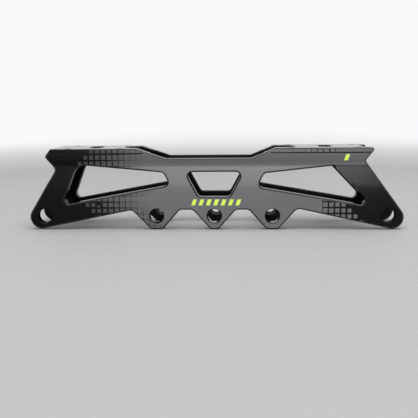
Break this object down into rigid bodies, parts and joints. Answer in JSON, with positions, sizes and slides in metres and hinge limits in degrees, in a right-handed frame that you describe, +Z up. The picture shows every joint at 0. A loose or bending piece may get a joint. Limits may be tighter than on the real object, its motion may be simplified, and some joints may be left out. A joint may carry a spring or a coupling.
{
  "type": "inline skate frame",
  "caption": "Bare inline skate frame: two windowed black rails with lobed lower edges, joined by toe and heel deck plates with cross slots for a boot.",
  "frame": {"origin": "below the middle axle, mid-way between the rails, at the underside of the middle lobes", "axes": "+X along the frame towards the toe, +Y towards the left rail with the threaded bushes, +Z up towards the boot"},
  "size_m": [0.2648, 0.037, 0.0573],
  "materials": {
    "black_anodised": "satin black anodised, with a grey print on the outer faces",
    "screw_steel": "black oxide steel",
    "pin_steel": "ground steel",
    "bush_steel": "turned steel, dark plated"
  },
  "bodies": {
    "root": {"right_rail": "black_anodised", "left_rail": "black_anodised", "toe_deck": "black_anodised", "heel_deck": "black_anodised", "toe_deck_screws": "screw_steel", "heel_deck_screws": "screw_steel", "toe_deck_dowels": "pin_steel", "heel_deck_dowels": "pin_steel", "axle_bush_toe": "bush_steel", "axle_bush_fore": "bush_steel", "axle_bush_middle": "bush_steel", "axle_bush_aft": "bush_steel", "axle_bush_heel": "bush_steel"}
  },
  "joints": []
}
